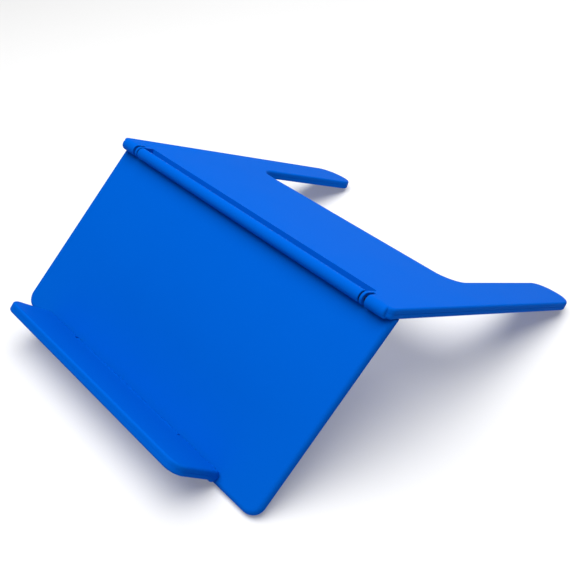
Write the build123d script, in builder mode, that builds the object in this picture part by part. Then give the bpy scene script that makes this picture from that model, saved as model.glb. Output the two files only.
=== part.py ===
from build123d import *
from math import asin, atan2, cos, degrees, hypot, radians, sin
import os

# Hinged board that stands as an A-frame: a wide main panel with a narrow ledge along its foot,
# and a forked rear leaf whose two arms reach the table behind. Millimetres, +Z up, +X along the
# hinges, front towards -Y, origin on the table under the centre of the whole board.

# ---- driving dimensions ----
board_width = 240.0
plate = 6.2                  # thickness of every plate
panel_edge_radius = 2.7      # rounding of the panel's edges, on both faces
edge_radius = 1.5            # rounding of the leaf's and the ledge's edges, on both faces
seam_bevel = 0.2             # bevel of each half at the fine seam round every edge
panel_slope = 42.8           # of the standing panel, from the horizontal

knuckle_radius = 3.6
face_gap = 0.4               # between a knuckle and the panel's face
knuckle_end_radius = 1.2     # at the outer ends of the leaf's and the ledge's knuckles
rim_radius = 0.4             # at the ends of the barrels and on the leaf's fingers
rod_radius = 1.5
bore_radius = 1.55
plug_radius = 1.57
top_plug_length = 6.0
ledge_plug_length = 3.0
rod_end_gap = 0.2

panel_rise = 5.0             # how far the panel runs above the hinge axis before it is mitred
mitre_gap = 0.2              # between the panel's mitred top edge and the leaf's underside
panel_foot = 125.5           # hinge axis to the panel's bottom edge
panel_foot_radius = 8.5

leaf_length = 214.0          # hinge axis to the arm tips
notch_start = 99.8           # hinge axis to the notch between the arms
arm_width = 30.2
arm_tip_outer_radius = 16.0
arm_tip_inner_radius = 12.0
notch_radius = 14.3
leaf_corner_radius = 3.5
leaf_relief = 9.4            # hinge axis to the leaf's edge, cut back behind the top barrel
barrel_half = 99.2           # half the length of the panel's top barrel
finger_start = 100.2         # narrow finger of the leaf, beside the barrel
finger_width = 1.7
leaf_knuckle_start = 104.0
leaf_knuckle_end = 117.0     # the plate runs on past it as an ear
slot_reach = 4.9             # hinge axis to the end of the slot between finger and knuckle

ledge_angle = 85.3           # between the ledge and the panel
ledge_axis_drop = 121.2      # top hinge axis to ledge hinge axis, down the slope
ledge_length = 178.0
ledge_depth = 33.1           # ledge axis to the front edge
ledge_corner_radius = 8.7
ledge_barrel_half = 53.6
ledge_knuckle_start = 54.8
ledge_relief = 2.0           # ledge axis to the ledge's edge, beside the ledge barrel
relief_clearance = 0.35      # round the ledge barrel, under that edge

washer_radius = 2.8
washer_gap = 0.05            # on each side of a washer

tab_nose = 1.5               # how far a plate runs past its axis, inside the knuckle
web_near = 1.6               # the web that joins the top barrel to the panel, down the slope
web_far = 2.8
ledge_web_width = 4.0
web_depth = 5.0
web_setback = 1.0            # each end of a web, inside the end of its barrel

# ---- derived places ----
half_plate = plate / 2
edge_lift = knuckle_radius - half_plate          # axis to a leaf's or ledge's middle plane
panel_sink = knuckle_radius + face_gap + half_plate   # axis to the panel's middle plane
panel_turn = radians(panel_slope)
ledge_turn = radians(ledge_angle)

# the leaf slopes so that the arm tips reach the same level as the panel's foot
hinge_height = ((panel_foot - panel_edge_radius) * sin(panel_turn)
                + (panel_sink + half_plate - panel_edge_radius) * cos(panel_turn)
                + panel_edge_radius)
arm_reach = leaf_length - edge_radius
arm_sink = half_plate - edge_lift - edge_radius
arm_drop = hinge_height - edge_radius
leaf_turn = asin(arm_drop / hypot(arm_reach, arm_sink)) - atan2(arm_sink, arm_reach)

down_slope = Vector(0, -cos(panel_turn), -sin(panel_turn))
panel_out = Vector(0, -sin(panel_turn), cos(panel_turn))
ledge_out = down_slope * cos(ledge_turn) + panel_out * sin(ledge_turn)
ledge_top = panel_out * cos(ledge_turn) - down_slope * sin(ledge_turn)
ledge_front = (down_slope * ledge_axis_drop + ledge_out * (ledge_depth - edge_radius)
               - ledge_top * arm_sink).Y - edge_radius
leaf_back = (arm_reach * cos(leaf_turn) + edge_radius
             + (edge_lift + half_plate - edge_radius) * sin(leaf_turn))
hinge_y = -(ledge_front + leaf_back) / 2

hinge_axis = Vector(0, hinge_y, hinge_height)
ledge_axis = hinge_axis + down_slope * ledge_axis_drop

across = (1, 0, 0)
panel_axes = Plane(origin=hinge_axis, x_dir=across, z_dir=panel_out)
panel_mid = panel_axes.offset(-panel_sink)
leaf_up = (0, sin(leaf_turn), cos(leaf_turn))
leaf_mid = Plane(origin=hinge_axis, x_dir=across, z_dir=leaf_up).offset(edge_lift)
ledge_mid = Plane(origin=ledge_axis, x_dir=across, z_dir=ledge_top).offset(edge_lift)
hinge_section = Plane(origin=hinge_axis, x_dir=(0, 1, 0), z_dir=across)
ledge_section = Plane(origin=ledge_axis, x_dir=(0, 1, 0), z_dir=across)

half_width = board_width / 2
ledge_half = ledge_length / 2
arm_inner = half_width - arm_width


def finish_plate(builder, middle, radius):
    """Round the face of a half plate, bevel its seam and mirror it into the whole plate."""
    along = Axis((0, 0, 0), middle.z_dir)
    fillet(builder.faces().sort_by(along)[-1].edges(), radius)
    chamfer(builder.faces().sort_by(along)[0].edges(), seam_bevel)
    mirror(about=middle)


def tube(section, start, end, radius, mode=Mode.ADD):
    """A round bar along the hinge from one place across the board to another."""
    with BuildSketch(section.offset(start)) as disc:
        Circle(radius)
    extrude(disc.sketch, amount=end - start, mode=mode)


def turned(section, start, end, radius, rim_radius, rounded_ends):
    """A bar turned about a hinge axis, with the rim at its end, or both rims, rounded."""
    lengthwise = Plane(origin=section.origin, x_dir=across, z_dir=(0, -1, 0))
    with BuildSketch(lengthwise) as half_profile:
        with Locations(((start + end) / 2, radius / 2)):
            Rectangle(abs(end - start), radius)
        rims = half_profile.vertices().group_by(Axis.Y)[-1].sort_by(lambda rim: abs(rim.X - end))
        fillet(rims[:rounded_ends], rim_radius)
    revolve(half_profile.sketch, axis=Axis(section.origin, across))


# ---- main panel, with the top barrel and the ledge barrel on its front face ----
with BuildPart() as main_panel:
    with BuildSketch(panel_mid) as panel_outline:
        with Locations((0, (panel_rise - panel_foot) / 2)):
            Rectangle(board_width, panel_foot + panel_rise)
        fillet(panel_outline.vertices().group_by(Axis.Y)[0], panel_foot_radius)
    extrude(amount=half_plate)
    finish_plate(main_panel, panel_mid, panel_edge_radius)
    # the mitred top edge lies along the leaf's underside and stops it as the board opens
    split(bisect_by=leaf_mid.offset(-half_plate - mitre_gap), keep=Keep.BOTTOM)
    # webs under both barrels
    with BuildSketch(panel_axes.offset(-web_depth)):
        with Locations((0, -(web_near + web_far) / 2)):
            Rectangle(2 * (barrel_half - web_setback), web_far - web_near)
        with Locations((0, -ledge_axis_drop)):
            Rectangle(2 * (ledge_barrel_half - web_setback), ledge_web_width)
    extrude(amount=web_depth)
    turned(hinge_section, -barrel_half, barrel_half, knuckle_radius, rim_radius, 2)
    turned(ledge_section, -ledge_barrel_half, ledge_barrel_half, knuckle_radius, rim_radius, 2)
    tube(hinge_section, -barrel_half, barrel_half, bore_radius, Mode.SUBTRACT)
    tube(ledge_section, -ledge_barrel_half, ledge_barrel_half, bore_radius, Mode.SUBTRACT)

# ---- rear leaf: two arms behind a deep notch, and a finger and a knuckle at each end ----
with BuildPart() as rear_leaf:
    with BuildSketch(leaf_mid) as leaf_outline:
        with Locations((0, (leaf_length - tab_nose) / 2)):
            Rectangle(board_width, leaf_length + tab_nose)
        fillet(leaf_outline.vertices().group_by(Axis.Y)[0], leaf_corner_radius)
        with Locations((0, notch_start + leaf_length / 2)):
            Rectangle(2 * arm_inner, leaf_length, mode=Mode.SUBTRACT)
        fillet(leaf_outline.vertices().group_by(Axis.Y)[-1].sort_by(Axis.X)[1:3],
               arm_tip_inner_radius)
        outer_tips = leaf_outline.vertices().sort_by(Axis.X)
        fillet([outer_tips.group_by(Axis.X)[0].sort_by(Axis.Y)[-1],
                outer_tips.group_by(Axis.X)[-1].sort_by(Axis.Y)[-1]], arm_tip_outer_radius)
        fillet(leaf_outline.vertices().filter_by_position(
            Axis.Y, notch_start - 1, notch_start + 1), notch_radius)
    extrude(amount=half_plate)
    finish_plate(rear_leaf, leaf_mid, edge_radius)
    # cut square behind the barrel, with a slot on the far side of each finger
    finger_end = finger_start + finger_width
    with BuildSketch(leaf_mid.offset(-plate)):
        with Locations((0, (leaf_relief - leaf_length) / 2)):
            Rectangle(2 * finger_start, leaf_relief + leaf_length)
        for side in (-1, 1):
            slot_centre = side * (finger_end + leaf_knuckle_start) / 2
            with Locations((slot_centre, (slot_reach - leaf_length) / 2)):
                Rectangle(leaf_knuckle_start - finger_end, slot_reach + leaf_length)
    extrude(amount=2 * plate, mode=Mode.SUBTRACT)
    for side in (-1, 1):
        turned(hinge_section, side * finger_start, side * finger_end,
               knuckle_radius, rim_radius, 2)
        turned(hinge_section, side * leaf_knuckle_start, side * leaf_knuckle_end,
               knuckle_radius, knuckle_end_radius, 1)
    undrilled_leaf = rear_leaf.part
    tube(hinge_section, -half_width, half_width, bore_radius, Mode.SUBTRACT)

# ---- ledge along the panel's foot, hollowed round the panel's ledge barrel ----
with BuildPart() as ledge:
    with BuildSketch(ledge_mid) as ledge_outline:
        with Locations((0, (tab_nose - ledge_depth) / 2)):
            Rectangle(ledge_length, ledge_depth + tab_nose)
        fillet(ledge_outline.vertices().group_by(Axis.Y)[0], ledge_corner_radius)
        fillet(ledge_outline.vertices().group_by(Axis.Y)[-1], leaf_corner_radius)
    extrude(amount=half_plate)
    finish_plate(ledge, ledge_mid, edge_radius)
    with BuildSketch(ledge_mid.offset(-plate)):
        with Locations((0, ledge_depth / 2 - ledge_relief)):
            Rectangle(2 * ledge_knuckle_start, ledge_depth)
    extrude(amount=2 * plate, mode=Mode.SUBTRACT)
    tube(ledge_section, -ledge_knuckle_start, ledge_knuckle_start,
         knuckle_radius + relief_clearance, Mode.SUBTRACT)
    for side in (-1, 1):
        turned(ledge_section, side * ledge_knuckle_start, side * ledge_half,
               knuckle_radius, knuckle_end_radius, 1)
    undrilled_ledge = ledge.part
    tube(ledge_section, -ledge_half, ledge_half, bore_radius, Mode.SUBTRACT)

# ---- hinge rods ----
with BuildPart() as top_hinge_rod:
    rod_half = half_width - top_plug_length - rod_end_gap
    tube(hinge_section, -rod_half, rod_half, rod_radius)

with BuildPart() as ledge_hinge_rod:
    ledge_rod_half = ledge_half - ledge_plug_length - rod_end_gap
    tube(ledge_section, -ledge_rod_half, ledge_rod_half, rod_radius)

finished = {
    "main_panel": main_panel,
    "rear_leaf": rear_leaf,
    "ledge": ledge,
    "top_hinge_rod": top_hinge_rod,
    "ledge_hinge_rod": ledge_hinge_rod,
}

# ---- friction washers at the ends of the barrels ----
barrels = {
    "top": (hinge_section, barrel_half, finger_start),
    "ledge": (ledge_section, ledge_barrel_half, ledge_knuckle_start),
}
for hinge, (section, inner, outer) in barrels.items():
    for side, hand in ((-1, "left"), (1, "right")):
        with BuildPart() as washer:
            low, high = sorted((side * (inner + washer_gap), side * (outer - washer_gap)))
            tube(section, low, high, washer_radius)
            tube(section, low, high, bore_radius, Mode.SUBTRACT)
        finished[f"{hinge}_hinge_washer_{hand}"] = washer

# ---- plugs that close the rod bores, trimmed flush with the piece they close ----
bores = {
    "top": (hinge_section, half_width, top_plug_length, undrilled_leaf),
    "ledge": (ledge_section, ledge_half, ledge_plug_length, undrilled_ledge),
}
for hinge, (section, reach, length, undrilled) in bores.items():
    for side, hand in ((-1, "left"), (1, "right")):
        with BuildPart() as plug:
            low = min(side * reach, side * (reach - length))
            tube(section, low, low + length, plug_radius)
            add(undrilled, mode=Mode.INTERSECT)
        finished[f"{hinge}_rod_plug_{hand}"] = plug

os.makedirs("parts", exist_ok=True)
for name, piece in finished.items():
    piece.part.label = name
    export_step(piece.part, f"parts/{name}.step")
print("hinge axis", hinge_axis, "ledge axis", ledge_axis)
print("leaf slope", degrees(leaf_turn), "opening", 180 - panel_slope - degrees(leaf_turn))
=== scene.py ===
import math

import bpy
from mathutils import Matrix, Vector

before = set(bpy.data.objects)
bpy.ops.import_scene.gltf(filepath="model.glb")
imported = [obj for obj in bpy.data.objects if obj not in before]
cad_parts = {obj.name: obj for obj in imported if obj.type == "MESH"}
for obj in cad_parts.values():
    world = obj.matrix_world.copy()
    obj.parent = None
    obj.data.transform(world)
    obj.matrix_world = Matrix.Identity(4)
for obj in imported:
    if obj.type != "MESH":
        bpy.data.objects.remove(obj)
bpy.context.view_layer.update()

# ---- driving values, in metres and degrees ----
PANEL_SLOPE = 42.8          # of the main panel's face, from the table
LEDGE_ANGLE = 85.3          # between the ledge and the panel's face
LEAF_SLOPE = 24.8           # of the rear leaf, down to the back

CAMERA_PLACE = Vector((0.3171, -0.2953, 0.34))
CAMERA_AZIMUTH = 49.84
CAMERA_ELEVATION = 40.96
CAMERA_ROLL = 0.44
CAMERA_LENS_MM = 50.99
CAMERA_SHIFT = (0.0588, 0.1139)

FLOOR_SIZE = 8.0
FLOOR_DROP = 0.0002         # below the feet, so the two surfaces don't coincide
FLOOR_PAINT = (0.6, 0.6, 0.6, 1.0)
FLOOR_GLOW = 0.2            # keeps the floor pale where the object shades it

# place, width and power in watts of each lamp, all aimed at LIGHT_TARGET
LIGHT_TARGET = (0.0, 0.0, 0.05)
KEY_LAMP = ((0.0, -0.19, 1.15), 1.3, 22.5)
BACK_LAMP = ((-0.5, 1.5, 0.9), 1.2, 15.0)
WHITE = (1.0, 1.0, 1.0, 1.0)
SKY_STRENGTH = 0.1

BLUE = (0.0, 0.094, 0.52, 1.0)
BLUE_DEEP = (0.0, 0.089, 0.50, 1.0)
STEEL_BLACK = (0.006, 0.008, 0.014, 1.0)
RUBBER_BLACK = (0.001, 0.006, 0.03, 1.0)

FACE_LINE_PITCH = 0.00085
FACE_BEAT_PITCH = 0.0034
EDGE_LAYER_PITCH = 0.0009
FACE_FALL_OFF = 24.0        # how fast the face's lines give way to the edge's round a corner
PLASTIC_RELIEF = 0.00004
STEEL_RELIEF = 0.00002
RUBBER_RELIEF = 0.00003


# ---- camera, floor and light ----
def place_camera():
    azimuth, elevation, roll = (
        math.radians(a) for a in (CAMERA_AZIMUTH, CAMERA_ELEVATION, CAMERA_ROLL)
    )
    back = Vector((
        math.sin(azimuth) * math.cos(elevation),
        -math.cos(azimuth) * math.cos(elevation),
        math.sin(elevation),
    ))
    right = Vector((math.cos(azimuth), math.sin(azimuth), 0.0))
    up = back.cross(right)
    level = Matrix((right, up, back)).transposed()
    data = bpy.data.cameras.new("camera")
    data.lens = CAMERA_LENS_MM
    data.sensor_width = 36.0
    data.shift_x, data.shift_y = CAMERA_SHIFT
    data.clip_start = 0.01
    camera = bpy.data.objects.new("camera", data)
    turn = level @ Matrix.Rotation(roll, 3, "Z")
    camera.matrix_world = Matrix.Translation(CAMERA_PLACE) @ turn.to_4x4()
    bpy.context.scene.collection.objects.link(camera)
    bpy.context.scene.camera = camera


def add_floor():
    bpy.ops.mesh.primitive_plane_add(size=FLOOR_SIZE, location=(0.0, 0.0, -FLOOR_DROP))
    floor = bpy.context.object
    floor.name = "floor"
    paint = bpy.data.materials.new("floor_paint")
    paint.use_nodes = True
    shader = paint.node_tree.nodes["Principled BSDF"]
    shader.inputs["Base Color"].default_value = FLOOR_PAINT
    shader.inputs["Emission Color"].default_value = WHITE
    shader.inputs["Emission Strength"].default_value = FLOOR_GLOW
    shader.inputs["Roughness"].default_value = 0.9
    floor.data.materials.append(paint)


def add_area_light(name, place, size, power):
    data = bpy.data.lights.new(name, "AREA")
    data.shape = "DISK"
    data.size = size
    data.energy = power
    light = bpy.data.objects.new(name, data)
    aim = (Vector(LIGHT_TARGET) - Vector(place)).to_track_quat("-Z", "Y")
    light.matrix_world = Matrix.Translation(place) @ aim.to_matrix().to_4x4()
    bpy.context.scene.collection.objects.link(light)


def light_studio():
    world = bpy.data.worlds.new("studio")
    world.use_nodes = True
    sky = world.node_tree.nodes["Background"]
    sky.inputs["Color"].default_value = WHITE
    sky.inputs["Strength"].default_value = SKY_STRENGTH
    bpy.context.scene.world = world
    add_area_light("key", *KEY_LAMP)
    add_area_light("back", *BACK_LAMP)
    bpy.context.scene.view_settings.view_transform = "Standard"


# ---- materials ----
class Nodes:
    """Short calls for building a material's node tree."""

    def __init__(self, material):
        material.use_nodes = True
        self.tree = material.node_tree
        self.shader = self.tree.nodes["Principled BSDF"]

    def new(self, kind, **settings):
        node = self.tree.nodes.new(kind)
        for key, value in settings.items():
            setattr(node, key, value)
        return node

    def link(self, source, target):
        self.tree.links.new(source, target)

    def math(self, operation, first, second=None, third=None):
        node = self.new("ShaderNodeMath", operation=operation)
        for socket, value in zip(node.inputs, (first, second, third)):
            if isinstance(value, (int, float)):
                socket.default_value = value
            elif value is not None:
                self.link(value, socket)
        return node.outputs[0]

    def bump(self, height, strength, distance):
        node = self.new("ShaderNodeBump")
        node.inputs["Strength"].default_value = strength
        node.inputs["Distance"].default_value = distance
        self.link(height, node.inputs["Height"])
        self.link(node.outputs["Normal"], self.shader.inputs["Normal"])


def plate_coordinates(nodes, slope):
    """Object coordinates turned so that Z is square to a plate that slopes about X."""
    coordinates = nodes.new("ShaderNodeTexCoord")
    turn = nodes.new("ShaderNodeMapping", vector_type="POINT")
    turn.inputs["Rotation"].default_value = (math.radians(slope), 0.0, 0.0)
    nodes.link(coordinates.outputs["Object"], turn.inputs["Vector"])
    split = nodes.new("ShaderNodeSeparateXYZ")
    nodes.link(turn.outputs["Vector"], split.inputs[0])
    normal = nodes.new("ShaderNodeMapping", vector_type="POINT")
    normal.inputs["Rotation"].default_value = (math.radians(slope), 0.0, 0.0)
    nodes.link(coordinates.outputs["Normal"], normal.inputs["Vector"])
    normal_split = nodes.new("ShaderNodeSeparateXYZ")
    nodes.link(normal.outputs["Vector"], normal_split.inputs[0])
    return turn.outputs["Vector"], split.outputs, normal_split.outputs[2]


def ridges(nodes, position, pitch):
    """A soft wave from 0 to 1 along a position in metres."""
    angle = nodes.math("MULTIPLY", position, 2 * math.pi / pitch)
    wave = nodes.math("SINE", angle)
    return nodes.math("MULTIPLY_ADD", wave, 0.5, 0.5)


def blue_plastic(name, slope):
    """Satin blue plastic built up in fine lines: diagonal on the faces, level round the edges."""
    material = bpy.data.materials.new(name)
    nodes = Nodes(material)
    vector, (across, along, height), facing = plate_coordinates(nodes, slope)

    # faces: fine diagonal lines, with a wider beat that barely shows
    diagonal = nodes.math("ADD", across, along)
    line = ridges(nodes, diagonal, FACE_LINE_PITCH)
    beat = ridges(nodes, diagonal, FACE_BEAT_PITCH)
    # edges: level lines, one above another
    layer = ridges(nodes, height, EDGE_LAYER_PITCH)
    flat = nodes.math("ABSOLUTE", facing)
    face_mask = nodes.math("POWER", flat, FACE_FALL_OFF)
    edge_mask = nodes.math("SUBTRACT", 1.0, face_mask)

    grain = nodes.new("ShaderNodeTexNoise")
    grain.inputs["Scale"].default_value = 1400.0
    grain.inputs["Detail"].default_value = 3.0
    nodes.link(vector, grain.inputs["Vector"])
    mottle = nodes.new("ShaderNodeTexNoise")
    mottle.inputs["Scale"].default_value = 26.0
    mottle.inputs["Detail"].default_value = 4.0
    nodes.link(vector, mottle.inputs["Vector"])

    face_height = nodes.math("MULTIPLY_ADD", beat, 0.5, line)
    relief = nodes.math("ADD", nodes.math("MULTIPLY", face_height, face_mask),
                        nodes.math("MULTIPLY", layer, edge_mask))
    relief = nodes.math("MULTIPLY_ADD", grain.outputs["Fac"], 0.5, relief)
    nodes.bump(relief, 0.25, PLASTIC_RELIEF)

    shade = nodes.math("MULTIPLY_ADD", nodes.math("SUBTRACT", beat, 0.5), 0.05,
                       mottle.outputs["Fac"])
    colour = nodes.new("ShaderNodeMix", data_type="RGBA")
    colour.inputs["A"].default_value = BLUE_DEEP
    colour.inputs["B"].default_value = BLUE
    nodes.link(shade, colour.inputs["Factor"])
    nodes.link(colour.outputs["Result"], nodes.shader.inputs["Base Color"])

    roughness = nodes.math("MULTIPLY_ADD", mottle.outputs["Fac"], 0.12, 0.46)
    nodes.link(roughness, nodes.shader.inputs["Roughness"])
    nodes.shader.inputs["IOR"].default_value = 1.46
    nodes.shader.inputs["Specular IOR Level"].default_value = 0.005
    return material


def blackened_steel():
    """Blackened steel rod with fine scratches along its length."""
    material = bpy.data.materials.new("blackened_steel")
    nodes = Nodes(material)
    coordinates = nodes.new("ShaderNodeTexCoord")
    stretch = nodes.new("ShaderNodeMapping", vector_type="POINT")
    stretch.inputs["Scale"].default_value = (20.0, 1500.0, 1500.0)
    nodes.link(coordinates.outputs["Object"], stretch.inputs["Vector"])
    scratch = nodes.new("ShaderNodeTexNoise")
    scratch.inputs["Scale"].default_value = 1.0
    nodes.link(stretch.outputs["Vector"], scratch.inputs["Vector"])
    nodes.link(nodes.math("MULTIPLY_ADD", scratch.outputs["Fac"], 0.25, 0.2),
               nodes.shader.inputs["Roughness"])
    nodes.bump(scratch.outputs["Fac"], 0.2, STEEL_RELIEF)
    nodes.shader.inputs["Base Color"].default_value = STEEL_BLACK
    nodes.shader.inputs["Specular IOR Level"].default_value = 0.2
    return material


def friction_rubber():
    """Near-black rubber with a fine matt grain."""
    material = bpy.data.materials.new("friction_rubber")
    nodes = Nodes(material)
    coordinates = nodes.new("ShaderNodeTexCoord")
    grain = nodes.new("ShaderNodeTexNoise")
    grain.inputs["Scale"].default_value = 3000.0
    nodes.link(coordinates.outputs["Object"], grain.inputs["Vector"])
    nodes.bump(grain.outputs["Fac"], 0.4, RUBBER_RELIEF)
    nodes.link(nodes.math("MULTIPLY_ADD", grain.outputs["Fac"], 0.2, 0.7),
               nodes.shader.inputs["Roughness"])
    nodes.shader.inputs["Base Color"].default_value = RUBBER_BLACK
    nodes.shader.inputs["Specular IOR Level"].default_value = 0.05
    return material


def dress(node_names, material):
    for node_name in node_names:
        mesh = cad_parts[node_name].data
        mesh.materials.clear()
        mesh.materials.append(material)


def dress_all():
    panel = blue_plastic("panel_plastic", -PANEL_SLOPE)
    leaf = blue_plastic("leaf_plastic", LEAF_SLOPE)
    ledge = blue_plastic("ledge_plastic", LEDGE_ANGLE - PANEL_SLOPE)
    dress(["main_panel"], panel)
    dress(["rear_leaf", "top_rod_plug_left", "top_rod_plug_right"], leaf)
    dress(["ledge", "ledge_rod_plug_left", "ledge_rod_plug_right"], ledge)
    dress(["top_hinge_rod", "ledge_hinge_rod"], blackened_steel())
    dress(["top_hinge_washer_left", "top_hinge_washer_right",
           "ledge_hinge_washer_left", "ledge_hinge_washer_right"], friction_rubber())


place_camera()
add_floor()
light_studio()
dress_all()
